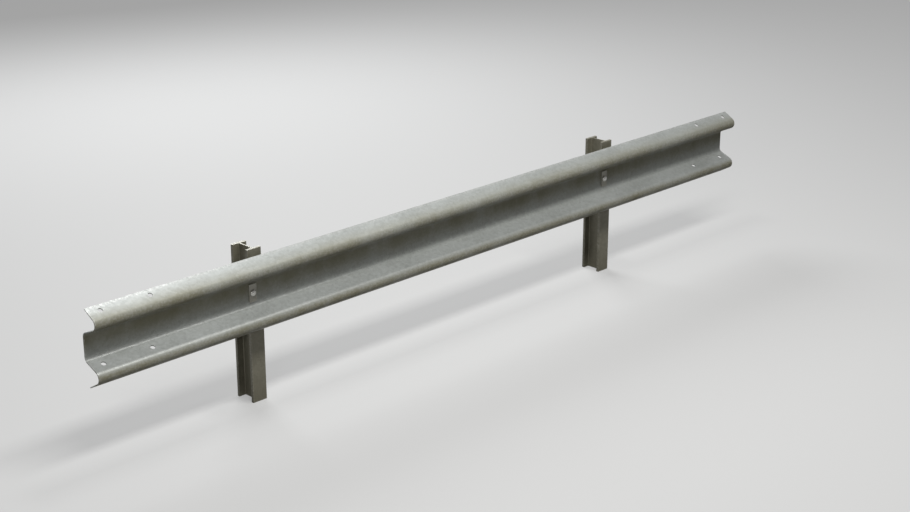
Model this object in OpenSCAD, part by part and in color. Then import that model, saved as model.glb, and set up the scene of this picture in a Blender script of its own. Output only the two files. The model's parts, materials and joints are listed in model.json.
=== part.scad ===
// Highway guardrail section: one W-beam rail bolted to two rolled I-section posts.
// Units are millimetres. X runs along the rail, Y points away from the road, Z is up.
// The origin lies on the cut foot of the left post, at the middle of its web.

/* [Rail] */
// Length of the rail from cut end to cut end
rail_length = 3810; // [3200:10:4300]
// Height of the W section from lip to lip
rail_height = 312; // [300:1:324]
// Depth of the W section over the sheet, crest to back of valley
rail_depth = 86; // [80:1:89]
// Thickness of the rolled sheet
sheet_t = 4; // [3:0.5:5]
// Radius on the inside of the two crest bends
crest_r = 24; // [20:1:26]
// Radius on the inside of the two valley bends
valley_r = 20; // [16:1:22]
// Height of each crest above or below the middle of the rail
crest_height = 104; // [103:1:108]
// Lean from vertical of the flanks between crest and valley
inner_lean = 68; // [67:1:72]
// Lean from vertical of the flanks between crest and lip
outer_lean = 60; // [54:1:63]

/* [Posts] */
// Height of each post above its foot
post_height = 650; // [640:5:900]
// Depth of the I-section, front face to back face
post_depth = 102; // [90:1:130]
// Width of each flange
flange_w = 68; // [64:1:90]
// Thickness of each flange
flange_t = 12; // [7:0.5:14]
// Thickness of the web
web_t = 6; // [4:0.5:8]
// Radius in the corners between web and flanges
root_r = 4; // [2:0.5:5]
// Distance between the two posts, web to web
post_spacing = 2120; // [1800:5:2300]
// Rail beyond the web of the left post
left_overhang = 790; // [600:5:900]
// Height of the middle of the rail above the post feet
rail_middle = 472; // [440:1:480]

/* [Post bolts] */
// Diameter of the bolt that holds the rail to a post
bolt_d = 16; // [12:1:16]
// Play all round the bolt in its holes
bolt_play = 1; // [0.5:0.1:1.5]
// Distance of the bolt from the middle of the web, on its left as seen from the road
bolt_gauge = 20; // [18:0.5:20]
// Overall length of the slot in the rail, along the rail
post_slot = 30; // [24:1:34]
// Width of the plate washer under the bolt head
plate_w = 36; // [34:1:60]
// Height of the plate washer
plate_h = 74; // [50:1:76]
// Thickness of the plate washer
plate_t = 5; // [4:0.5:8]
// Corner radius of the plate washer
plate_r = 4; // [2:0.5:8]

/* [Splice holes] */
// Diameter of the holes that join one rail to the next
splice_d = 20; // [17:0.5:24]
// First row of holes to the cut end of the rail
splice_margin = 51; // [40:1:80]
// First row of holes to the second row, along the rail
splice_pitch = 216; // [150:1:260]

/* [Hidden] */
$fn = 96;
zinc = "#9fa29c";
weathered_zinc = "#8b8c84";

// The middle line of the sheet turns on these radii
crest_mid_r = crest_r + sheet_t / 2;
valley_mid_r = valley_r + sheet_t / 2;
both_r = crest_mid_r + valley_mid_r;
mid_depth = rail_depth - sheet_t;
// Straight flank between the valley bend and the crest bend
inner_flank = (mid_depth - both_r * (1 - cos(inner_lean))) / sin(inner_lean);
crest_u = mid_depth - crest_mid_r;
// The valley stays flat up to here, above and below the middle of the rail
valley_half = crest_height - both_r * sin(inner_lean) - inner_flank * cos(inner_lean);
// The lip is cut square to the sheet, so its outer corner reaches rail_height
lip_v = rail_height / 2 - sheet_t / 2 * sin(outer_lean);
outer_flank = (lip_v - crest_height - crest_mid_r * sin(outer_lean)) / cos(outer_lean);

rail_x0 = -left_overhang;
post_front = -post_depth / 2;
bolt_hole_d = bolt_d + 2 * bolt_play;
// Cutters reach this far past the faces that they open
cut = 1;
// Largest turn between two points of a bend, in degrees
arc_step = 4;

// The W section lies in a plane whose first axis points to the road and whose second is up.
// A station is a point on the middle line of the sheet and the sheet's lean there, taken
// from vertical towards the road, on the way up from the valley to the lip.

function leans(from, to) = let (steps = ceil(abs(to - from) / arc_step))
    [for (i = [0 : steps]) from + (to - from) * i / steps];

function along_sheet(lean) = [sin(lean), cos(lean)];
function to_road(lean) = [cos(lean), -sin(lean)];

function stations() = let (
        valley_centre = [valley_mid_r, valley_half],
        crest_centre = [crest_u, crest_height],
        lip = crest_centre + crest_mid_r * to_road(-outer_lean) + outer_flank * along_sheet(-outer_lean)
    ) concat(
        [for (lean = leans(0, inner_lean)) [valley_centre - valley_mid_r * to_road(lean), lean]],
        [for (lean = leans(inner_lean, -outer_lean)) [crest_centre + crest_mid_r * to_road(lean), lean]],
        [[lip, -outer_lean]]
    );

// One face of the sheet, half a thickness to the road (1) or away from it (-1)
function face_line(side) = [for (s = stations()) s[0] + side * sheet_t / 2 * to_road(s[1])];
function reversed(line) = [for (i = [len(line) - 1 : -1 : 0]) line[i]];
function lower_half(line) = [for (p = line) [p[0], -p[1]]];

module w_section() {
    road_line = face_line(1);
    back_line = face_line(-1);
    polygon(concat(reversed(lower_half(road_line)), road_line, reversed(back_line), lower_half(back_line)));
}

// A round cutter square to a flank, at a distance along the rail and a point of the section
module flank_hole(along, at, lean) {
    translate([along, -at[0], at[1]])
        rotate([lean, 0, 0])
            cylinder(d = splice_d, h = sheet_t + 2 * cut, center = true);
}

// Splice holes through all four flanks, in two rows near each end of the rail
module splice_holes() {
    inner_mid = [valley_mid_r * (1 - cos(inner_lean)) + inner_flank / 2 * sin(inner_lean),
        valley_half + valley_mid_r * sin(inner_lean) + inner_flank / 2 * cos(inner_lean)];
    outer_mid = [crest_u + crest_mid_r * cos(outer_lean) - outer_flank / 2 * sin(outer_lean),
        crest_height + crest_mid_r * sin(outer_lean) + outer_flank / 2 * cos(outer_lean)];
    for (row = [splice_margin, splice_margin + splice_pitch], along = [row, rail_length - row]) {
        flank_hole(along, inner_mid, 90 + inner_lean);
        flank_hole(along, outer_mid, 90 - outer_lean);
        flank_hole(along, [inner_mid[0], -inner_mid[1]], 90 - inner_lean);
        flank_hole(along, [outer_mid[0], -outer_mid[1]], 90 + outer_lean);
    }
}

// A slot cutter through the valley, lengthwise along the rail
module post_slot_cut() {
    shift = (post_slot - bolt_hole_d) / 2;
    rotate([90, 0, 0]) linear_extrude(sheet_t + 2 * cut, center = true) {
        for (side = [-1, 1]) translate([side * shift, 0]) circle(d = bolt_hole_d);
        square([2 * shift, bolt_hole_d], center = true);
    }
}

module w_beam_rail() {
    color(zinc)
        translate([rail_x0, post_front - sheet_t / 2, rail_middle])
            difference() {
                translate([rail_length, 0, 0]) rotate([90, 0, -90]) linear_extrude(rail_length) w_section();
                splice_holes();
                for (post_x = [0, post_spacing])
                    translate([post_x - bolt_gauge + left_overhang, 0, 0]) post_slot_cut();
            }
}

// One rolled corner between web and flange, with its square corner at the origin
module root_fillet() {
    difference() {
        square(root_r);
        translate([root_r, root_r]) circle(r = root_r);
    }
}

// A quarter of the I: half a flange and one rolled corner
module quarter_section() {
    flange_inner = post_depth / 2 - flange_t;
    translate([0, flange_inner]) square([flange_w / 2, flange_t]);
    translate([web_t / 2, flange_inner]) mirror([0, 1]) root_fillet();
}

module i_section() {
    square([web_t, post_depth], center = true);
    for (back = [0, 1], left = [0, 1]) mirror([0, back]) mirror([left, 0]) quarter_section();
}

module post() {
    color(weathered_zinc)
        difference() {
            linear_extrude(post_height) i_section();
            translate([-bolt_gauge, post_front + flange_t / 2, rail_middle])
                rotate([90, 0, 0]) cylinder(d = bolt_hole_d, h = flange_t + 2 * cut, center = true);
        }
}

module post_left() {
    post();
}

module post_right() {
    translate([post_spacing, 0, 0]) post();
}

module rounded_plate() {
    inset = [plate_w / 2 - plate_r, plate_h / 2 - plate_r];
    square([plate_w, 2 * inset[1]], center = true);
    square([2 * inset[0], plate_h], center = true);
    for (side = [-1, 1], level = [-1, 1]) translate([side * inset[0], level * inset[1]]) circle(r = plate_r);
}

// The plate lies on the road side of the valley and covers the slot
module plate_washer(post_x) {
    color(weathered_zinc)
        translate([post_x - bolt_gauge, post_front - sheet_t, rail_middle])
            rotate([90, 0, 0]) linear_extrude(plate_t) difference() {
                rounded_plate();
                circle(d = bolt_hole_d);
            }
}

module plate_washer_left() {
    plate_washer(0);
}

module plate_washer_right() {
    plate_washer(post_spacing);
}

w_beam_rail();
post_left();
post_right();
plate_washer_left();
plate_washer_right();
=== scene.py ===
"""Dress the W-beam guardrail section: zinc finishes, post fasteners, floor, lamps and camera."""

from __future__ import annotations

import json
import logging
import math
from collections.abc import Callable
from dataclasses import dataclass, field
from enum import Enum
from typing import Any

import bmesh
import bpy
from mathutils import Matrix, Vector

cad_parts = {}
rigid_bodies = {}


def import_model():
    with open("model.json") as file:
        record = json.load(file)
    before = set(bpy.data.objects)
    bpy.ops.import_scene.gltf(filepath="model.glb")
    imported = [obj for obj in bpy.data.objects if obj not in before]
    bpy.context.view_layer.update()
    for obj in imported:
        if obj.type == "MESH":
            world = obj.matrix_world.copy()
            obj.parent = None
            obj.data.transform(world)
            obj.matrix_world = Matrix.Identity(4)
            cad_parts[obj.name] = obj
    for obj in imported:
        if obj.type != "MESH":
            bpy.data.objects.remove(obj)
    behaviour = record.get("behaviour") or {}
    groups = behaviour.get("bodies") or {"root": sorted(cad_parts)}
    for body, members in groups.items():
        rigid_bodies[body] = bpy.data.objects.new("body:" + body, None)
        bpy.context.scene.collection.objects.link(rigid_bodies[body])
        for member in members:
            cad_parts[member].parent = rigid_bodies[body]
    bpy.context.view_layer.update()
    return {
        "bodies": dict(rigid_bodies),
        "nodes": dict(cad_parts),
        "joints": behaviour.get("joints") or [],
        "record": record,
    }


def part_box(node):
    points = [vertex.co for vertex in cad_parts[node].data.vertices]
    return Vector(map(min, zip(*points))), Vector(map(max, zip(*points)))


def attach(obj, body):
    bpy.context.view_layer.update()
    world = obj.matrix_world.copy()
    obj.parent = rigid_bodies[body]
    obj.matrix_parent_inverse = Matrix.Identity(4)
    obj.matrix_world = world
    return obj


LOG = logging.getLogger("guardrail")
ROOT_BODY = "root"
RAIL = "w_beam_rail"
POSTS = ("post_left", "post_right")
PLATES = ("plate_washer_left", "plate_washer_right")

FLOAT = "NodeSocketFloat"
COLOUR = "NodeSocketColor"
VECTOR = "NodeSocketVector"

Colour = tuple[float, float, float]
Point = tuple[float, float, float]
Loop = list[tuple[float, float]]
Box = tuple[Vector, Vector]
Socket = bpy.types.NodeSocket


class Run(Enum):
    """The way that rolling marks run on a piece, as a scale on each axis."""

    ALONG_RAIL = (0.9, 70.0, 70.0)
    UP_POST = (60.0, 60.0, 1.1)
    NONE = (45.0, 45.0, 45.0)


@dataclass(frozen=True)
class ZincFinish:
    """One galvanised finish.

    Attributes:
        name: Name of the material.
        bright: Colour of fresh zinc.
        dull: Colour of weathered zinc.
        metallic: Share of bare metal in the surface.
        polish: Roughness of the smoothest crystals.
        matt: Roughness of the dullest crystals.
        crystal: Size of a zinc crystal in metres.
        contrast: How far the crystals differ in tone.
        marks: Strength of the rolling marks.
        run: Direction of the rolling marks.
        film: Colour of the road film, which on the rail also paints shade.
        bare: Colour of zinc that is rubbed clean along edges.
    """

    name: str
    bright: Colour
    dull: Colour
    metallic: float
    polish: float
    matt: float
    crystal: float
    contrast: float
    marks: float
    run: Run
    film: Colour
    bare: Colour


RAIL_ZINC = ZincFinish(
    name="rail_zinc",
    bright=(0.398, 0.416, 0.406),
    dull=(0.277, 0.29, 0.276),
    metallic=0.22,
    polish=0.33,
    matt=0.5,
    crystal=0.011,
    contrast=0.7,
    marks=0.35,
    run=Run.ALONG_RAIL,
    # On the rail this colour is also painted shade: in the valley, under and on the fronts of the crests, and
    # on the top flank.
    film=(0.172, 0.156, 0.086),
    bare=(0.53, 0.535, 0.52),
)
POST_ZINC = ZincFinish(
    name="post_zinc",
    bright=(0.206, 0.196, 0.15),
    dull=(0.136, 0.128, 0.092),
    metallic=0.3,
    polish=0.42,
    matt=0.6,
    crystal=0.014,
    contrast=0.6,
    marks=0.4,
    run=Run.UP_POST,
    film=(0.16, 0.148, 0.11),
    bare=(0.29, 0.285, 0.25),
)
PLATE_ZINC = ZincFinish(
    name="plate_zinc",
    bright=(0.42, 0.41, 0.365),
    dull=(0.3, 0.292, 0.25),
    metallic=0.4,
    polish=0.38,
    matt=0.55,
    crystal=0.008,
    contrast=0.5,
    marks=0.3,
    run=Run.NONE,
    film=(0.16, 0.148, 0.11),
    bare=(0.4, 0.395, 0.36),
)
BOLT_ZINC = ZincFinish(
    name="bolt_zinc",
    bright=(0.66, 0.66, 0.63),
    dull=(0.5, 0.495, 0.46),
    metallic=0.85,
    polish=0.22,
    matt=0.34,
    crystal=0.006,
    contrast=0.4,
    marks=0.2,
    run=Run.NONE,
    film=(0.22, 0.2, 0.15),
    bare=(0.7, 0.7, 0.68),
)


class Graph:
    """A node tree with short calls to add nodes and join them."""

    def __init__(self, tree: bpy.types.NodeTree) -> None:
        """Keep the tree that the calls add to."""
        self.tree = tree

    def add(self, kind: str, inputs: dict[Any, Any] | None = None, **settings: Any) -> bpy.types.Node:
        """Add one node.

        Args:
            kind: Blender's name for the type of node.
            inputs: Input names or numbers, each with a value or an output to join.
            settings: The node's own properties.

        Returns:
            The new node.
        """
        node = self.tree.nodes.new(kind)
        for name, value in settings.items():
            setattr(node, name, value)
        for key, value in (inputs or {}).items():
            if isinstance(value, Socket):
                self.tree.links.new(value, node.inputs[key])
            else:
                node.inputs[key].default_value = value
        return node

    def join(self, output: Socket, target: Socket) -> None:
        """Join an output to an input."""
        self.tree.links.new(output, target)

    def maths(self, operation: str, first: Any, second: Any = 0.0, clamp: bool = False) -> Socket:
        """Add a maths node.

        Args:
            operation: Blender's name for the operation.
            first: First value or output.
            second: Second value or output.
            clamp: Keep the result between 0 and 1.

        Returns:
            The result's output.
        """
        inputs = {0: first, 1: second}
        return self.add("ShaderNodeMath", inputs, operation=operation, use_clamp=clamp).outputs[0]

    def centred(self, value: Any) -> Socket:
        """Take one half from a value, so that it lies about zero."""
        return self.maths("SUBTRACT", value, 0.5)

    def weighted(self, *terms: tuple[Any, Any]) -> Socket:
        """Add up values, each times its share.

        Args:
            terms: Each value or output, with its share.

        Returns:
            The sum's output.
        """
        first, *others = [self.maths("MULTIPLY", value, share) for value, share in terms]
        for part in others:
            first = self.maths("ADD", first, part)
        return first

    def largest(self, first: Any, *others: Any) -> Socket:
        """Take the largest of some values.

        Args:
            first: First value or output.
            others: The other values or outputs.

        Returns:
            The result's output.
        """
        for other in others:
            first = self.maths("MAXIMUM", first, other)
        return first

    def vectors(self, operation: str, *operands: Any) -> Socket:
        """Add a vector maths node.

        Args:
            operation: Blender's name for the operation.
            operands: Its vectors or outputs.

        Returns:
            The result's output.
        """
        return self.add("ShaderNodeVectorMath", dict(enumerate(operands)), operation=operation).outputs[0]

    def noise(self, place: Any, scale: float, detail: float, **inputs: Any) -> Socket:
        """Add a noise texture.

        Args:
            place: Coordinates.
            scale: Waves to a unit of the coordinates.
            detail: Number of finer layers.
            inputs: Other inputs of the texture.

        Returns:
            The noise, from 0 to 1.
        """
        given = {"Vector": place, "Scale": scale, "Detail": detail, **inputs}
        return self.add("ShaderNodeTexNoise", given).outputs[0]

    def axes(self, vector: Any) -> Any:
        """Split a vector into its X, Y and Z outputs."""
        return self.add("ShaderNodeSeparateXYZ", {0: vector}).outputs

    def blend(self, share: Any, first: Any, second: Any) -> Socket:
        """Blend two colours.

        Args:
            share: Share of the second colour.
            first: First colour or output.
            second: Second colour or output.

        Returns:
            The colour's output.
        """
        node = self.add("ShaderNodeMix", {0: share, 6: first, 7: second}, data_type="RGBA")
        return node.outputs[2]

    def ramp(self, value: Any, low: Any, high: Any, bottom: Any = 0.0, top: Any = 1.0) -> Socket:
        """Map a value smoothly from one range to another, clamped.

        Args:
            value: The value or output.
            low: Start of the range.
            high: End of the range.
            bottom: Result at the start.
            top: Result at the end.

        Returns:
            The result's output.
        """
        inputs = {0: value, 1: low, 2: high, 3: bottom, 4: top}
        return self.add("ShaderNodeMapRange", inputs, interpolation_type="SMOOTHSTEP").outputs[0]


def new_group(name: str, inputs: dict[str, str], outputs: dict[str, str]) -> tuple[Graph, Any, Any]:
    """Start a shader node group.

    Args:
        name: Name of the group.
        inputs: Input names and socket types.
        outputs: Output names and socket types.

    Returns:
        The group's graph, its input node's outputs and its output node's inputs.
    """
    tree = bpy.data.node_groups.new(name, "ShaderNodeTree")
    for direction, sockets in (("INPUT", inputs), ("OUTPUT", outputs)):
        for label, kind in sockets.items():
            tree.interface.new_socket(name=label, in_out=direction, socket_type=kind)
    graph = Graph(tree)
    return graph, graph.add("NodeGroupInput").outputs, graph.add("NodeGroupOutput").inputs


@dataclass(frozen=True)
class ZincSkin:
    """Zinc crystals, cloudy patina and rolling marks, shared by all the finishes.

    Attributes:
        wander_scale: Waves to a metre of the wander in the crystals' edges.
        wander_reach: How far that wander goes.
        flake_ratio: How many times finer the flakes are than the crystals.
        crystal_share: Share of the crystals in the grain.
        flake_share: Share of the flakes in the grain.
        cloud_scale: Clouds of patina to a metre.
        cloud_fray: Roughness of the clouds' edges.
        cloud_tone: How far the clouds change the tone.
        crystal_dulling: How far the crystals change the gloss.
        cloud_dulling: How far the clouds change the gloss.
        mark_dulling: How far the rolling marks change the gloss.
        grit_scale: Grains to a metre.
        crystal_height: Share of the crystals in the relief.
        grit_height: Share of the grains in the relief.
        mark_height: Share of the rolling marks in the relief.
    """

    wander_scale: float = 38.0
    wander_reach: float = 0.012
    flake_ratio: float = 2.6
    crystal_share: float = 0.65
    flake_share: float = 0.35
    cloud_scale: float = 3.2
    cloud_fray: float = 0.62
    cloud_tone: float = 1.1
    crystal_dulling: float = 0.5
    cloud_dulling: float = 1.6
    mark_dulling: float = 0.4
    grit_scale: float = 420.0
    crystal_height: float = 0.25
    grit_height: float = 0.45
    mark_height: float = 0.5

    def cells(self, graph: Graph, place: Socket, scale: Socket) -> Any:
        """Split the surface into cells, each with three random values.

        Args:
            graph: Graph of the group.
            place: Coordinates.
            scale: Cells to a metre.

        Returns:
            The outputs of the three values.
        """
        cells = graph.add("ShaderNodeTexVoronoi", {"Vector": place, "Scale": scale})
        return graph.add("ShaderNodeSeparateColor", {0: cells.outputs["Color"]}).outputs

    def group(self) -> bpy.types.NodeTree:
        """Build the node group.

        Returns:
            The group, with Colour, Roughness and Height outputs.
        """
        inputs = {
            "Place": VECTOR, "Bright": COLOUR, "Dull": COLOUR, "Crystal": FLOAT, "Contrast": FLOAT,
            "Run": VECTOR, "Marks": FLOAT, "Polish": FLOAT, "Matt": FLOAT,
        }
        outputs = {"Colour": COLOUR, "Roughness": FLOAT, "Height": FLOAT}
        graph, given, result = new_group("zinc_skin", inputs, outputs)
        place = given["Place"]
        noise = {"Vector": place, "Scale": self.wander_scale, "Detail": 2.0}
        wander = graph.add("ShaderNodeTexNoise", noise).outputs["Color"]
        shift = graph.vectors("SUBTRACT", wander, (0.5, 0.5, 0.5))
        bent = graph.vectors("MULTIPLY_ADD", shift, (self.wander_reach,) * 3, place)
        scale = graph.maths("DIVIDE", 1.0, given["Crystal"])
        crystal = self.cells(graph, bent, scale)
        flake = self.cells(graph, bent, graph.maths("MULTIPLY", scale, self.flake_ratio))
        clouds = graph.noise(place, self.cloud_scale, 5.0, Roughness=self.cloud_fray)
        marks = graph.noise(graph.vectors("MULTIPLY", place, given["Run"]), 1.0, 3.0)
        grit = graph.noise(place, self.grit_scale, 2.0)
        grain = graph.weighted((crystal[0], self.crystal_share), (flake[0], self.flake_share))
        change = graph.weighted(
            (graph.centred(grain), given["Contrast"]),
            (graph.centred(clouds), self.cloud_tone),
            (graph.centred(marks), given["Marks"]),
        )
        tone = graph.maths("ADD", 0.5, change, clamp=True)
        graph.join(graph.blend(tone, given["Dull"], given["Bright"]), result["Colour"])
        dulling = graph.weighted(
            (crystal[1], self.crystal_dulling),
            (graph.centred(clouds), self.cloud_dulling),
            (marks, self.mark_dulling),
        )
        gloss = {0: dulling, 3: given["Polish"], 4: given["Matt"]}
        graph.join(graph.add("ShaderNodeMapRange", gloss).outputs[0], result["Roughness"])
        height = graph.weighted(
            (crystal[2], self.crystal_height), (grit, self.grit_height), (marks, self.mark_height)
        )
        graph.join(height, result["Height"])
        return graph.tree


@dataclass(frozen=True)
class RoadFilmAndShade:
    """A broken film of road dust, shared by all the finishes; on the rail its cover also lays painted shade.

    Attributes:
        run_scale: Runs to a metre on each axis, longer down than along.
        run_share: Share of the runs in the break-up.
        patch_scale: Patches to a metre.
        patch_share: Share of the patches in the break-up.
        thin_at: Break-up at which the film is thinnest.
        thick_at: Break-up at which the film is thickest.
        thinnest: Share of the cover that is left where the film is thinnest.
        dulling: Roughness that a full film adds.
        hiding: Share of the metal that a full film hides.
        gloss: Specular level where there is no film.
    """

    run_scale: Point = (11.0, 11.0, 4.0)
    run_share: float = 0.7
    patch_scale: float = 2.1
    patch_share: float = 0.6
    thin_at: float = 0.35
    thick_at: float = 0.85
    thinnest: float = 0.55
    dulling: float = 0.18
    hiding: float = 0.8
    gloss: float = 0.5

    def group(self) -> bpy.types.NodeTree:
        """Build the node group.

        Returns:
            The group, with Colour, Roughness, Metallic and Specular outputs.
        """
        inputs = {
            "Place": VECTOR, "Colour": COLOUR, "Roughness": FLOAT,
            "Film": COLOUR, "Cover": FLOAT, "Metal": FLOAT,
        }
        outputs = {"Colour": COLOUR, "Roughness": FLOAT, "Metallic": FLOAT, "Specular": FLOAT}
        graph, given, result = new_group("road_film", inputs, outputs)
        runs = graph.noise(graph.vectors("MULTIPLY", given["Place"], self.run_scale), 1.0, 4.0)
        patches = graph.noise(given["Place"], self.patch_scale, 3.0)
        broken = graph.weighted((runs, self.run_share), (patches, self.patch_share))
        thickness = graph.ramp(broken, self.thin_at, self.thick_at, self.thinnest, 1.0)
        cover = graph.maths("MULTIPLY", given["Cover"], thickness, clamp=True)
        graph.join(graph.blend(cover, given["Colour"], given["Film"]), result["Colour"])
        dulling = graph.maths("MULTIPLY", cover, self.dulling)
        graph.join(graph.maths("ADD", given["Roughness"], dulling, clamp=True), result["Roughness"])
        open_share = graph.maths("SUBTRACT", 1.0, graph.maths("MULTIPLY", cover, self.hiding))
        graph.join(graph.maths("MULTIPLY", open_share, given["Metal"]), result["Metallic"])
        clean = graph.maths("SUBTRACT", 1.0, cover)
        graph.join(graph.maths("MULTIPLY", clean, self.gloss), result["Specular"])
        return graph.tree


@dataclass(frozen=True)
class EdgeRub:
    """Zinc that is rubbed clean in broken specks, shared by all the finishes.

    Attributes:
        speck_scale: Specks to a metre.
        whole_at: Noise at which the skin is still whole.
        bare_at: Noise at which the skin is rubbed away.
        polish: Roughness that a full rub takes away.
    """

    speck_scale: float = 120.0
    whole_at: float = 0.36
    bare_at: float = 0.74
    polish: float = 0.1

    def group(self) -> bpy.types.NodeTree:
        """Build the node group.

        Returns:
            The group, with Colour and Roughness outputs.
        """
        inputs = {"Place": VECTOR, "Colour": COLOUR, "Roughness": FLOAT, "Bare": COLOUR, "Cover": FLOAT}
        graph, given, result = new_group("edge_rub", inputs, {"Colour": COLOUR, "Roughness": FLOAT})
        specks = graph.noise(given["Place"], self.speck_scale, 5.0)
        broken = graph.ramp(specks, self.whole_at, self.bare_at)
        rub = graph.maths("MULTIPLY", given["Cover"], broken, clamp=True)
        graph.join(graph.blend(rub, given["Colour"], given["Bare"]), result["Colour"])
        polish = graph.maths("MULTIPLY", rub, self.polish)
        graph.join(graph.maths("SUBTRACT", given["Roughness"], polish, clamp=True), result["Roughness"])
        return graph.tree


CoverRule = Callable[[Graph, Socket], Socket]


class ZincShop:
    """Makes the galvanised materials from the three shared groups.

    Attributes:
        bump_strength: How strongly the relief shades, in every material.
    """

    bump_strength: float = 0.6

    def __init__(self) -> None:
        """Build the shared groups once."""
        self.skin = ZincSkin().group()
        self.film = RoadFilmAndShade().group()
        self.rub = EdgeRub().group()

    def coat(self, finish: ZincFinish, cover: CoverRule, edges: CoverRule, bump: float) -> bpy.types.Material:
        """Make one material.

        Args:
            finish: Colours and sizes of the finish.
            cover: Adds the nodes that say where road film lies, and on the rail where shade is painted.
            edges: Adds the nodes that say where edges are rubbed.
            bump: Depth of the zinc's relief in metres.

        Returns:
            The material.
        """
        material = bpy.data.materials.new(finish.name)
        material.use_nodes = True
        graph = Graph(material.node_tree)
        graph.tree.nodes.clear()
        place = graph.add("ShaderNodeTexCoord").outputs["Object"]
        skin = graph.add("ShaderNodeGroup", node_tree=self.skin)
        film = graph.add("ShaderNodeGroup", node_tree=self.film)
        rub = graph.add("ShaderNodeGroup", node_tree=self.rub)
        values = {
            "Bright": (*finish.bright, 1.0), "Dull": (*finish.dull, 1.0), "Crystal": finish.crystal,
            "Contrast": finish.contrast, "Run": finish.run.value, "Marks": finish.marks,
            "Polish": finish.polish, "Matt": finish.matt,
        }
        for label, value in values.items():
            skin.inputs[label].default_value = value
        film.inputs["Film"].default_value = (*finish.film, 1.0)
        film.inputs["Metal"].default_value = finish.metallic
        rub.inputs["Bare"].default_value = (*finish.bare, 1.0)
        for layer in (skin, film, rub):
            graph.join(place, layer.inputs["Place"])
        for lower, upper in ((skin, film), (film, rub)):
            for label in ("Colour", "Roughness"):
                graph.join(lower.outputs[label], upper.inputs[label])
        graph.join(cover(graph, place), film.inputs["Cover"])
        graph.join(edges(graph, place), rub.inputs["Cover"])
        shape = {"Strength": self.bump_strength, "Distance": bump, "Height": skin.outputs["Height"]}
        look = {
            "Base Color": rub.outputs["Colour"], "Roughness": rub.outputs["Roughness"],
            "Metallic": film.outputs["Metallic"], "Specular IOR Level": film.outputs["Specular"],
            "Normal": graph.add("ShaderNodeBump", shape).outputs[0],
        }
        surface = graph.add("ShaderNodeBsdfPrincipled", look).outputs[0]
        graph.add("ShaderNodeOutputMaterial", {"Surface": surface})
        return material


def thin_film(graph: Graph, place: Socket) -> Socket:
    """Lay a thin film everywhere, a little thinner higher up.

    Args:
        graph: Graph of the material.
        place: Object coordinates.

    Returns:
        The cover.
    """
    at_ground, at_one_metre = 0.25, 0.15
    return graph.ramp(graph.axes(place)["Z"], 0.0, 1.0, at_ground, at_one_metre)


def near_box_faces(
    graph: Graph, place: Socket, boxes: list[Box], axes: str, reach: float, share: float
) -> Socket:
    """Find how near a point is to the end faces of boxes, along some axes.

    Args:
        graph: Graph of the material.
        place: Object coordinates.
        boxes: Lowest and highest corner of each box.
        axes: The axes to look along, such as "XZ".
        reach: Distance from the face at which the result has faded out.
        share: Result at the face.

    Returns:
        The largest result over all the faces.
    """
    parts = graph.axes(place)
    full_reach = 0.4 * reach
    strips = []
    for axis in axes:
        number = "XYZ".index(axis)
        for level in sorted({round(corner[number], 4) for box in boxes for corner in box}):
            away = graph.maths("ABSOLUTE", graph.maths("SUBTRACT", parts[axis], level))
            strips.append(graph.ramp(away, full_reach, reach, share, 0.0))
    return graph.largest(*strips)


def paint(node: bpy.types.Object, material: bpy.types.Material) -> None:
    """Put a material in every slot of a CAD node."""
    for slot in node.material_slots:
        slot.material = material


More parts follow.
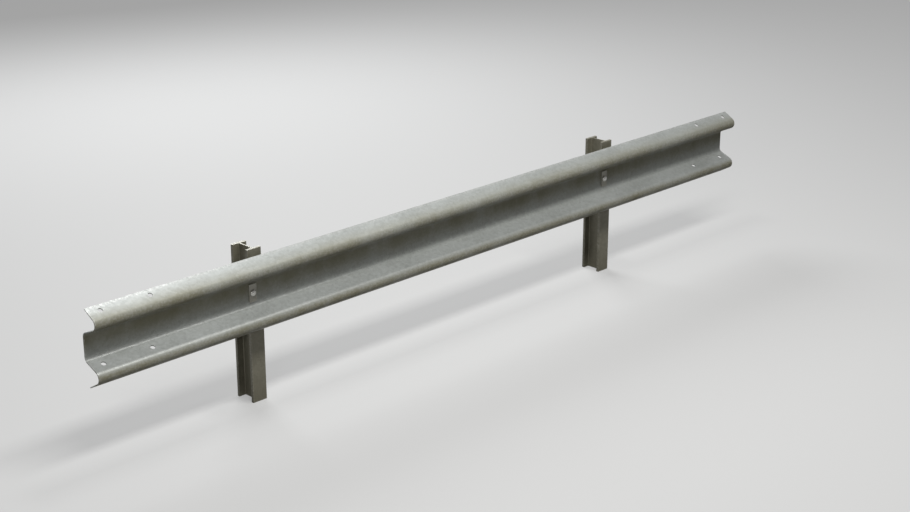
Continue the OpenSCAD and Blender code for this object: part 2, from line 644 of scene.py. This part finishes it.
@dataclass
class Rail:
    """The W-beam rail, where road film gathers on it, where shade is painted onto it and where it is rubbed.

    Attributes:
        valley_dust_and_shade_core: Half height of the strip in the valley that holds the full cover of road
            dust and painted shade.
        valley_dust_and_shade_end: Half height at which that cover has faded out.
        valley_dust_and_shade_share: Most cover in the valley.
        valley_dust_and_shade_deep: Shares of the depth, from the crests back, between which the valley's
            cover sets in.
        valley_shade_rise: Distances above the middle between which the valley's cover rises from its least
            share to full, so that the painted shade is darker higher up.
        valley_shade_low_share: Share of the cover that is left low in the valley.
        back_facing: Values of the normal's Y between which the front turns into the back.
        back_share: Share of the valley's cover on the back of the rail.
        under_shade_facing: Values of the normal's Z between which an underside turns upright.
        under_shade_share: Most painted shade under the crests.
        crest_shade_deep: Shares of the depth between which the painted shade on the crests fades out.
        crest_shade_facing: Values of the normal's Z between which that painted shade fades out too.
        crest_shade_share: Most painted shade on the fronts of the crests.
        flank_shade_foot: Shares of the half height between which the painted shade on the top flank sets in.
        flank_shade_fade: Shares of the half height between which it thins out towards the lip.
        flank_shade_share: Most painted shade on the top flank.
        relief: Depth of the zinc's relief.
        end_reach: Width of the rubbed strip along the cut ends.
        end_rub: Most rub there.
        lip_reach: Height of the rubbed strip along the lips.
        lip_rub: Most rub there.
        crest_reach: Depth of the rubbed strip on the fronts of the crests.
        crest_rub: Most rub there.
    """

    valley_dust_and_shade_core: float = 0.035
    valley_dust_and_shade_end: float = 0.075
    valley_dust_and_shade_share: float = 0.8
    valley_dust_and_shade_deep: tuple[float, float] = (0.35, 0.85)
    valley_shade_rise: tuple[float, float] = (-0.05, 0.03)
    valley_shade_low_share: float = 0.15
    back_facing: tuple[float, float] = (-0.2, 0.4)
    back_share: float = 0.25
    under_shade_facing: tuple[float, float] = (-0.7, 0.1)
    under_shade_share: float = 0.85
    crest_shade_deep: tuple[float, float] = (0.25, 0.5)
    crest_shade_facing: tuple[float, float] = (0.05, 0.97)
    crest_shade_share: float = 0.8
    flank_shade_foot: tuple[float, float] = (0.6, 0.7)
    flank_shade_fade: tuple[float, float] = (0.72, 0.96)
    flank_shade_share: float = 0.66
    relief: float = 0.0004
    end_reach: float = 0.006
    end_rub: float = 0.6
    lip_reach: float = 0.008
    lip_rub: float = 0.6
    crest_reach: float = 0.006
    crest_rub: float = 0.2

    def cover(self, graph: Graph, place: Socket) -> Socket:
        """Lay road film and painted shade in the valley, fading out over the flanks, painted shade on and
        under the crests, and painted shade on the top flank.

        Args:
            graph: Graph of the material.
            place: Object coordinates.

        Returns:
            The cover, from 0 to the largest share.
        """
        low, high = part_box(RAIL)
        middle = (low[2] + high[2]) / 2
        half = high[2] - middle
        depth = high[1] - low[1]
        valley_dust_and_shade_deep = [low[1] + share * depth for share in self.valley_dust_and_shade_deep]
        crest_shade_deep = [low[1] + share * depth for share in self.crest_shade_deep]
        flank_shade_foot = [share * half for share in self.flank_shade_foot]
        flank_shade_fade = [share * half for share in self.flank_shade_fade]
        at = graph.axes(place)
        facing = graph.axes(graph.add("ShaderNodeNewGeometry").outputs["Normal"])
        above = graph.maths("SUBTRACT", at["Z"], middle)
        away = graph.maths("ABSOLUTE", above)
        # Road dust and painted shade in the valley, with the shade darker under the upper crest.
        valley_dust_and_shade = graph.ramp(away, self.valley_dust_and_shade_core, self.valley_dust_and_shade_end, self.valley_dust_and_shade_share, 0.0)
        for limit in (
            graph.ramp(at["Y"], *valley_dust_and_shade_deep),
            # Painted shade: the valley's cover thins out towards the crease below.
            graph.ramp(above, *self.valley_shade_rise, self.valley_shade_low_share, 1.0),
            graph.ramp(facing["Y"], *self.back_facing, 1.0, self.back_share),
        ):
            valley_dust_and_shade = graph.maths("MULTIPLY", valley_dust_and_shade, limit)
        # Painted shade on surfaces that face downwards, under the crests.
        under_shade = graph.ramp(facing["Z"], *self.under_shade_facing, self.under_shade_share, 0.0)
        # Painted shade on the fronts of the crests, fading as they turn upwards; it also dims the highlight
        # on their bends.
        front = graph.ramp(at["Y"], *crest_shade_deep, self.crest_shade_share, 0.0)
        crest_shade = graph.maths("MULTIPLY", front, graph.ramp(facing["Z"], *self.crest_shade_facing, 1.0, 0.0))
        # Painted shade on the top flank, darkest towards the crest and fading out towards the lip.
        flank = graph.ramp(above, *flank_shade_fade, self.flank_shade_share, 0.0)
        flank_shade = graph.maths("MULTIPLY", flank, graph.ramp(above, *flank_shade_foot))
        return graph.largest(valley_dust_and_shade, under_shade, crest_shade, flank_shade)

    def edges(self, graph: Graph, place: Socket) -> Socket:
        """Rub the cut ends, the lips and the fronts of the crests.

        Args:
            graph: Graph of the material.
            place: Object coordinates.

        Returns:
            The rub, from 0 to 1.
        """
        low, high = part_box(RAIL)
        return graph.largest(
            near_box_faces(graph, place, [(low, high)], "X", self.end_reach, self.end_rub),
            near_box_faces(graph, place, [(low, high)], "Z", self.lip_reach, self.lip_rub),
            near_box_faces(graph, place, [(low, low)], "Y", self.crest_reach, self.crest_rub),
        )

    def dress(self, frame: dict[str, Any], shop: ZincShop) -> None:
        """Give the rail its finish."""
        paint(frame["nodes"][RAIL], shop.coat(RAIL_ZINC, self.cover, self.edges, self.relief))


@dataclass
class Posts:
    """The two I-section posts and the splash at their feet.

    Attributes:
        splash_top: Height above the foot that splash reaches.
        splash_share: Most cover that the splash reaches, at the foot.
        dust_share: Cover above the splash.
        relief: Depth of the zinc's relief.
        edge_reach: Width of the rubbed strip along the flange edges, cut tops and feet.
        edge_rub: Most rub there.
    """

    splash_top: float = 0.16
    splash_share: float = 0.6
    dust_share: float = 0.05
    relief: float = 0.0006
    edge_reach: float = 0.005
    edge_rub: float = 0.5

    def cover(self, graph: Graph, place: Socket) -> Socket:
        """Lay splash near the foot, fading upwards.

        Args:
            graph: Graph of the material.
            place: Object coordinates.

        Returns:
            The cover, from dust_share to splash_share.
        """
        height = graph.axes(place)["Z"]
        return graph.ramp(height, 0.0, self.splash_top, self.splash_share, self.dust_share)

    def edges(self, graph: Graph, place: Socket) -> Socket:
        """Rub the flange edges, the cut tops and the feet.

        Args:
            graph: Graph of the material.
            place: Object coordinates.

        Returns:
            The rub, from 0 to 1.
        """
        boxes = [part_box(name) for name in POSTS]
        return near_box_faces(graph, place, boxes, "XZ", self.edge_reach, self.edge_rub)

    def flange_back(self, frame: dict[str, Any]) -> float:
        """Measure where the front flange ends, behind its front face.

        Args:
            frame: The loaded frame.

        Returns:
            The Y of the back of the front flange.
        """
        node = frame["nodes"][POSTS[0]]
        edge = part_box(POSTS[0])[1][0]
        slack = 1e-4
        on_edge = [v.co.y for v in node.data.vertices if abs(v.co.x - edge) < slack]
        _, front_flange_back, *_ = sorted({round(y, 5) for y in on_edge})
        return front_flange_back

    def dress(self, frame: dict[str, Any], shop: ZincShop) -> None:
        """Give both posts their finish."""
        material = shop.coat(POST_ZINC, self.cover, self.edges, self.relief)
        for name in POSTS:
            paint(frame["nodes"][name], material)


def mesh_object(name: str, mesh: bmesh.types.BMesh, crease: float = 35.0) -> bpy.types.Object:
    """Turn a bmesh into an object with smooth faces and sharp creases.

    Args:
        name: Name of the object.
        mesh: The bmesh, which is freed.
        crease: Angle in degrees past which an edge stays sharp.

    Returns:
        The object, linked to the scene.
    """
    bmesh.ops.recalc_face_normals(mesh, faces=mesh.faces)
    data = bpy.data.meshes.new(name)
    mesh.to_mesh(data)
    mesh.free()
    data.polygons.foreach_set("use_smooth", [True] * len(data.polygons))
    data.set_sharp_from_angle(angle=math.radians(crease))
    item = bpy.data.objects.new(name, data)
    bpy.context.scene.collection.objects.link(item)
    return item


def turned(profile: Loop, steps: int) -> bmesh.types.BMesh:
    """Turn an open profile about the Y axis, closed by a pole at each end.

    Args:
        profile: Radius and Y of each point, from pole to pole.
        steps: Points round a turn.

    Returns:
        The closed mesh.
    """
    mesh = bmesh.new()
    rings = []
    for radius, y in profile[1:-1]:
        turns = [2 * math.pi * i / steps for i in range(steps)]
        rings.append([mesh.verts.new((radius * math.cos(a), y, radius * math.sin(a))) for a in turns])
    for ring, following in zip(rings, rings[1:]):
        for i in range(steps):
            j = (i + 1) % steps
            mesh.faces.new((ring[i], ring[j], following[j], following[i]))
    for ring, (_, y) in ((rings[0], profile[0]), (rings[-1], profile[-1])):
        pole = mesh.verts.new((0.0, y, 0.0))
        for i in range(steps):
            mesh.faces.new((ring[i], ring[(i + 1) % steps], pole))
    return mesh


def ringed(section: Callable[[float], Loop], steps: int) -> bmesh.types.BMesh:
    """Carry a closed section round the Y axis.

    Args:
        section: Gives the section's radius and Y points at an angle.
        steps: Sections round a turn.

    Returns:
        The closed mesh.
    """
    mesh = bmesh.new()
    rings = []
    for i in range(steps):
        a = 2 * math.pi * i / steps
        rings.append([mesh.verts.new((r * math.cos(a), y, r * math.sin(a))) for r, y in section(a)])
    for ring, following in zip(rings, rings[1:] + rings[:1]):
        count = len(ring)
        for i in range(count):
            j = (i + 1) % count
            mesh.faces.new((ring[i], ring[j], following[j], following[i]))
    return mesh


@dataclass
class PlateWashers:
    """The upright plate washers under the bolt heads.

    Attributes:
        edge_reach: Width of the rubbed strip along the edges.
        edge_rub: Most rub there.
        relief: Depth of the zinc's relief.
    """

    edge_reach: float = 0.003
    edge_rub: float = 0.8
    relief: float = 0.0003

    def edges(self, graph: Graph, place: Socket) -> Socket:
        """Rub the edges all round each plate.

        Args:
            graph: Graph of the material.
            place: Object coordinates.

        Returns:
            The rub, from 0 to 1.
        """
        boxes = [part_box(name) for name in PLATES]
        return near_box_faces(graph, place, boxes, "XZ", self.edge_reach, self.edge_rub)

    def dress(self, frame: dict[str, Any], shop: ZincShop) -> None:
        """Give both plates their finish."""
        material = shop.coat(PLATE_ZINC, thin_film, self.edges, self.relief)
        for name in PLATES:
            paint(frame["nodes"][name], material)


@dataclass
class Fasteners:
    """The bolts, washers and nuts that hold the rail to the posts.

    Attributes:
        bolt_r: Radius of the bolt.
        head_r: Radius of the domed head.
        head_h: Height of the domed head.
        head_edge: Height of the straight rim of the head.
        dome_steps: Rings in the dome.
        pitch: Pitch of the thread.
        thread_depth: Depth of the thread, as a share of the pitch.
        thread_start: Half width of the thread's crest, as a share of the pitch.
        washer_r: Radius of the round washer.
        washer_t: Thickness of the round washer.
        nut_flats: Width of the nut over its flats.
        nut_h: Height of the nut.
        nut_face: Radius of the nut's flat end, as a share of half its width.
        chamfer: Angle in degrees of the chamfers on the nut's corners.
        nut_steps: Sections round the nut.
        nut_crease: Angle in degrees past which the nut's edges stay sharp.
        nut_turn: Most turn in degrees of a nut, either way.
        tail: Length of thread that stands out of the nut.
        bevel: Small bevel on edges.
        steps: Points round a turn.
        relief: Depth of the zinc's relief.
        crown_rub: Rub on the crown of a bolt head.
        least_rub: Rub on the rest.
    """

    bolt_r: float = 0.008
    head_r: float = 0.014
    head_h: float = 0.009
    head_edge: float = 0.0022
    dome_steps: int = 9
    pitch: float = 0.002
    thread_depth: float = 0.6
    thread_start: float = 0.1
    washer_r: float = 0.0138
    washer_t: float = 0.003
    nut_flats: float = 0.024
    nut_h: float = 0.0148
    nut_face: float = 0.96
    chamfer: float = 30.0
    nut_steps: int = 72
    nut_crease: float = 25.0
    nut_turn: float = 25.0
    tail: float = 0.009
    bevel: float = 0.0005
    steps: int = 48
    relief: float = 0.0002
    crown_rub: float = 0.8
    least_rub: float = 0.1

    def edges(self, graph: Graph, place: Socket) -> Socket:
        """Rub the crowns of the bolt heads.

        Args:
            graph: Graph of the material.
            place: Object coordinates.

        Returns:
            The rub, from 0 to 1.
        """
        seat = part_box(PLATES[0])[0][1]
        crown, rim = seat - self.head_h, seat - self.head_edge
        return graph.ramp(graph.axes(place)["Y"], crown, rim, self.crown_rub, self.least_rub)

    def bolt(self, grip: float) -> bmesh.types.BMesh:
        """Turn the bolt, with its head towards the road and its seat at the origin.

        Args:
            grip: Distance from the seat to the front of the nut.

        Returns:
            The bolt's mesh.
        """
        quarter = math.pi / 2
        dome_h = self.head_h - self.head_edge
        profile: Loop = [(0.0, -self.head_h)]
        for i in range(1, self.dome_steps + 1):
            a = quarter * i / self.dome_steps
            profile.append((self.head_r * math.sin(a), -self.head_edge - dome_h * math.cos(a)))
        profile += [(self.head_r, -self.bevel), (self.head_r - self.bevel, 0.0), (self.bolt_r, 0.0)]
        end = grip + self.nut_h + self.tail
        root_r = self.bolt_r - self.thread_depth * self.pitch
        turn = [(self.bolt_r, self.thread_start), (root_r, 0.5), (self.bolt_r, 1 - self.thread_start)]
        y = grip
        while y + self.pitch < end:
            profile += [(radius, y + share * self.pitch) for radius, share in turn]
            y += self.pitch
        profile += [(self.bolt_r - 3 * self.bevel, end), (0.0, end)]
        return turned(profile, self.steps)

    def washer(self, _: float = 0.0) -> Loop:
        """Give the round washer's section, the same at every angle."""
        inner, outer, thick, edge = self.bolt_r + self.bevel, self.washer_r, self.washer_t, self.bevel
        front: Loop = [(inner, 0.0), (outer - edge, 0.0), (outer, edge)]
        return front + [(radius, thick - y) for radius, y in reversed(front)]

    def nut(self, angle: float) -> Loop:
        """Give the hexagon nut's section at an angle, with its corners cut back by the chamfers.

        Args:
            angle: Angle round the nut in radians.

        Returns:
            The section as a closed loop.
        """
        sixth = math.pi / 3
        half_flats = self.nut_flats / 2
        face_r = self.nut_face * half_flats
        side_r = half_flats / math.cos((angle + sixth / 2) % sixth - sixth / 2)
        drop = (side_r - face_r) * math.tan(math.radians(self.chamfer))
        lead = 2 * self.bevel
        front: Loop = [(self.bolt_r, lead), (self.bolt_r + lead, 0.0), (face_r, 0.0), (side_r, drop)]
        return front + [(radius, self.nut_h - y) for radius, y in reversed(front)]

    def lay(self, frame: dict[str, Any], posts: Posts, shop: ZincShop) -> list[bpy.types.Object]:
        """Lay the fasteners at every post.

        Args:
            frame: The loaded frame.
            posts: The posts that they go through.
            shop: Makes their finish.

        Returns:
            The bolts, washers and nuts, each as one piece.
        """
        low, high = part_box(PLATES[0])
        last_low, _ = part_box(PLATES[-1])
        middle = (low + high) / 2
        step = ((last_low[0] - low[0]) / (len(PLATES) - 1), 0.0, 0.0)
        head_seat = low[1]
        washer_seat = posts.flange_back(frame)
        nut_seat = washer_seat + self.washer_t
        bolt = mesh_object("bolt", self.bolt(nut_seat - head_seat))
        washer = mesh_object("washer", ringed(self.washer, self.steps))
        nut = mesh_object("nut", ringed(self.nut, self.nut_steps), self.nut_crease)
        material = shop.coat(BOLT_ZINC, thin_film, self.edges, self.relief)
        row = FastenerRow(count=len(PLATES), step=step, material=material)
        rows = (
            ("post_bolts", bolt, head_seat, math.pi),
            ("post_washers", washer, washer_seat, math.pi),
            ("post_nuts", nut, nut_seat, math.radians(self.nut_turn)),
        )
        return [row.lay(name, item, (middle[0], seat, middle[2]), turn) for name, item, seat, turn in rows]


@dataclass
class FastenerRow:
    """Repeats one fastener along the rail with a geometry node tree.

    Attributes:
        count: How many there are.
        step: From one to the next.
        material: Finish of the fasteners.
        seed: Seed of the turn that each one is tightened to.
        tree: The geometry node tree, built once for all the rows.
    """

    count: int
    step: Point
    material: bpy.types.Material
    seed: int = 7
    tree: bpy.types.NodeTree = field(init=False)

    def __post_init__(self) -> None:
        """Build the tree."""
        self.tree = self.build_tree()

    def build_tree(self) -> bpy.types.NodeTree:
        """Build the tree that places copies along a line, turns each about Y and makes them one mesh.

        Returns:
            The geometry node tree.
        """
        tree = bpy.data.node_groups.new("fastener_row", "GeometryNodeTree")
        sockets = {
            "Geometry": "NodeSocketGeometry", "Fastener": "NodeSocketObject", "Count": "NodeSocketInt",
            "First": VECTOR, "Step": VECTOR, "Least Turn": VECTOR, "Most Turn": VECTOR,
            "Seed": "NodeSocketInt", "Finish": "NodeSocketMaterial",
        }
        for label, kind in sockets.items():
            tree.interface.new_socket(name=label, in_out="INPUT", socket_type=kind)
        tree.interface.new_socket(name="Geometry", in_out="OUTPUT", socket_type="NodeSocketGeometry")
        graph = Graph(tree)
        given = graph.add("NodeGroupInput").outputs
        spread = {"Count": given["Count"], "Start Location": given["First"], "Offset": given["Step"]}
        line = graph.add("GeometryNodeMeshLine", spread)
        fastener = graph.add("GeometryNodeObjectInfo", {"Object": given["Fastener"]})
        turn = graph.add("FunctionNodeRandomValue", data_type="FLOAT_VECTOR")
        for label, target in (("Least Turn", 0), ("Most Turn", 1), ("Seed", "Seed")):
            graph.join(given[label], turn.inputs[target])
        rotation = graph.add("FunctionNodeEulerToRotation", {0: turn.outputs[0]})
        copied = {
            "Points": line.outputs[0], "Instance": fastener.outputs["Geometry"],
            "Rotation": rotation.outputs[0],
        }
        copies = graph.add("GeometryNodeInstanceOnPoints", copied)
        real = graph.add("GeometryNodeRealizeInstances", {0: copies.outputs[0]})
        dressed = {"Geometry": real.outputs[0], "Material": given["Finish"]}
        finished = graph.add("GeometryNodeSetMaterial", dressed)
        graph.add("NodeGroupOutput", {0: finished.outputs[0]})
        return tree

    def lay(self, name: str, fastener: bpy.types.Object, first: Point, turn: float) -> bpy.types.Object:
        """Place the copies and make them one plain mesh.

        Args:
            name: Name of the piece.
            fastener: One fastener with its seat at the origin, removed afterwards.
            first: Place of the first copy.
            turn: Most turn about the bolt's axis, either way.

        Returns:
            The piece.
        """
        holder = bpy.data.objects.new(name, bpy.data.meshes.new(name))
        bpy.context.scene.collection.objects.link(holder)
        modifier = holder.modifiers.new("row", "NODES")
        modifier.node_group = self.tree
        values = {
            "Fastener": fastener, "Count": self.count, "First": first, "Step": self.step,
            "Least Turn": (0.0, -turn, 0.0), "Most Turn": (0.0, turn, 0.0),
            "Seed": self.seed, "Finish": self.material,
        }
        for item in self.tree.interface.items_tree:
            if item.in_out == "INPUT" and item.name in values:
                modifier[item.identifier] = values[item.name]
        shown = holder.evaluated_get(bpy.context.evaluated_depsgraph_get())
        holder.data = bpy.data.meshes.new_from_object(shown)
        holder.data.name = name
        holder.modifiers.clear()
        bpy.data.objects.remove(fastener)
        return holder


@dataclass(frozen=True)
class Lamp:
    """One soft lamp, square on to the point that it looks at.

    Attributes:
        name: Name of the lamp.
        place: Where it hangs.
        target: The point it looks at.
        size: Its width and height.
        power: Its power in watts.
        colour: Its colour.
    """

    name: str
    place: Point
    target: Point
    size: tuple[float, float]
    power: float
    colour: Colour = (1.0, 1.0, 1.0)


LAMPS = (
    Lamp("road_side_high", (0.6, -2.44, 4.85), (0.6, -0.1, 0.5), (4.6, 0.8), 264.0, (1.0, 0.995, 0.98)),
    Lamp("overhead_strip", (1.1, 0.1, 4.0), (0.0, 0.0, 0.6), (0.9, 0.45), 40.0),
    Lamp("left_fill", (-4.2, -3.4, 2.3), (0.9, 0.0, 0.4), (1.1, 0.8), 55.0),
    Lamp("field_side", (3.0, 4.8, 3.6), (1.2, 0.0, 0.4), (4.0, 2.0), 330.0, (0.97, 0.985, 1.0)),
)


@dataclass
class Studio:
    """The pale floor, the lamps, the world and the camera.

    Attributes:
        floor_size: Width of the floor.
        floor_tone: How much of the light on the floor shows.
        floor_glow: Even light of the floor, added wherever it is looked at.
        floor_blue: Blue of the floor, as a share of its red and green.
        bounce_tone: How much of the light the floor gives back to the object.
        world_tone: How pale the world looks.
        ambient: Light that the world gives the object.
        camera_place: Where the camera stands.
        heading: Angle in degrees from the rail to the line of sight, seen from above.
        dip: Angle in degrees of the line of sight below level.
        lens: Focal length in millimetres.
        sensor: Sensor width in millimetres.
    """

    floor_size: float = 400.0
    floor_tone: float = 0.26
    floor_glow: float = 0.33
    floor_blue: float = 0.99
    bounce_tone: float = 0.08
    world_tone: float = 0.36
    ambient: float = 0.07
    camera_place: Point = (-3.792, -4.949, 2.855)
    heading: float = 45.0
    dip: float = 20.0
    lens: float = 66.46
    sensor: float = 36.0

    def seen_directly(self, graph: Graph) -> Socket:
        """Add nodes that tell camera, glossy and transmission rays from the rest.

        Args:
            graph: Graph of the material or world.

        Returns:
            1 for those rays, 0 for the rest.
        """
        path = graph.add("ShaderNodeLightPath").outputs
        return graph.largest(path["Is Camera Ray"], path["Is Glossy Ray"], path["Is Transmission Ray"])

    def floor(self) -> None:
        """Lay the pale floor."""
        half = self.floor_size / 2
        mesh = bmesh.new()
        corners = ((-half, -half), (half, -half), (half, half), (-half, half))
        mesh.faces.new([mesh.verts.new((x, y, 0.0)) for x, y in corners])
        plane = mesh_object("floor", mesh)
        material = bpy.data.materials.new("floor_pale")
        material.use_nodes = True
        graph = Graph(material.node_tree)
        graph.tree.nodes.clear()
        tones = [(tone, tone, tone * self.floor_blue, 1.0) for tone in (self.bounce_tone, self.floor_tone)]
        dim, lit = (graph.add("ShaderNodeBsdfDiffuse", {"Color": tone}).outputs[0] for tone in tones)
        glow = graph.add("ShaderNodeEmission", {"Strength": self.floor_glow}).outputs[0]
        pale = graph.add("ShaderNodeAddShader", {0: lit, 1: glow}).outputs[0]
        mix = graph.add("ShaderNodeMixShader", {0: self.seen_directly(graph), 1: dim, 2: pale})
        graph.add("ShaderNodeOutputMaterial", {"Surface": mix.outputs[0]})
        plane.data.materials.append(material)

    def world(self) -> None:
        """Light the object softly from all round, and look pale."""
        world = bpy.data.worlds.new("studio")
        bpy.context.scene.world = world
        world.use_nodes = True
        graph = Graph(world.node_tree)
        graph.tree.nodes.clear()
        tones = [(tone, tone, tone, 1.0) for tone in (self.ambient, self.world_tone)]
        colour = graph.blend(self.seen_directly(graph), *tones)
        sky = graph.add("ShaderNodeBackground", {"Color": colour})
        graph.add("ShaderNodeOutputWorld", {"Surface": sky.outputs[0]})

    def lamps(self) -> None:
        """Hang the soft lamps."""
        for lamp in LAMPS:
            data = bpy.data.lights.new(lamp.name, "AREA")
            data.shape = "RECTANGLE"
            data.size, data.size_y = lamp.size
            data.energy = lamp.power
            data.color = lamp.colour
            item = bpy.data.objects.new(lamp.name, data)
            item.location = lamp.place
            aim = Vector(lamp.target) - Vector(lamp.place)
            item.rotation_euler = aim.to_track_quat("-Z", "Y").to_euler()
            bpy.context.scene.collection.objects.link(item)

    def camera(self) -> None:
        """Stand the camera at the photograph's angle."""
        data = bpy.data.cameras.new("camera")
        data.lens = self.lens
        data.sensor_width = self.sensor
        item = bpy.data.objects.new("camera", data)
        heading, dip = math.radians(self.heading), math.radians(self.dip)
        level = math.cos(dip)
        sight = Vector((level * math.cos(heading), level * math.sin(heading), -math.sin(dip)))
        item.location = self.camera_place
        item.rotation_euler = sight.to_track_quat("-Z", "Y").to_euler()
        bpy.context.scene.collection.objects.link(item)
        bpy.context.scene.camera = item

    def set_up(self) -> None:
        """Build the whole studio."""
        bpy.context.scene.view_settings.view_transform = "Standard"
        self.floor()
        self.world()
        self.lamps()
        self.camera()


def main() -> None:
    """Load the frame, dress the rail and posts, lay the fasteners and set up the studio."""
    logging.basicConfig(level=logging.INFO, format="%(name)s: %(message)s")
    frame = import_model()
    shop = ZincShop()
    posts = Posts()
    for part in (Rail(), posts, PlateWashers()):
        part.dress(frame, shop)
    for name in (RAIL, *POSTS, *PLATES):
        LOG.info("%s: dressed", name)
    for piece in Fasteners().lay(frame, posts, shop):
        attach(piece, ROOT_BODY)
        LOG.info("%s: %d faces", piece.name, len(piece.data.polygons))
    Studio().set_up()


if __name__ == "__main__":
    main()
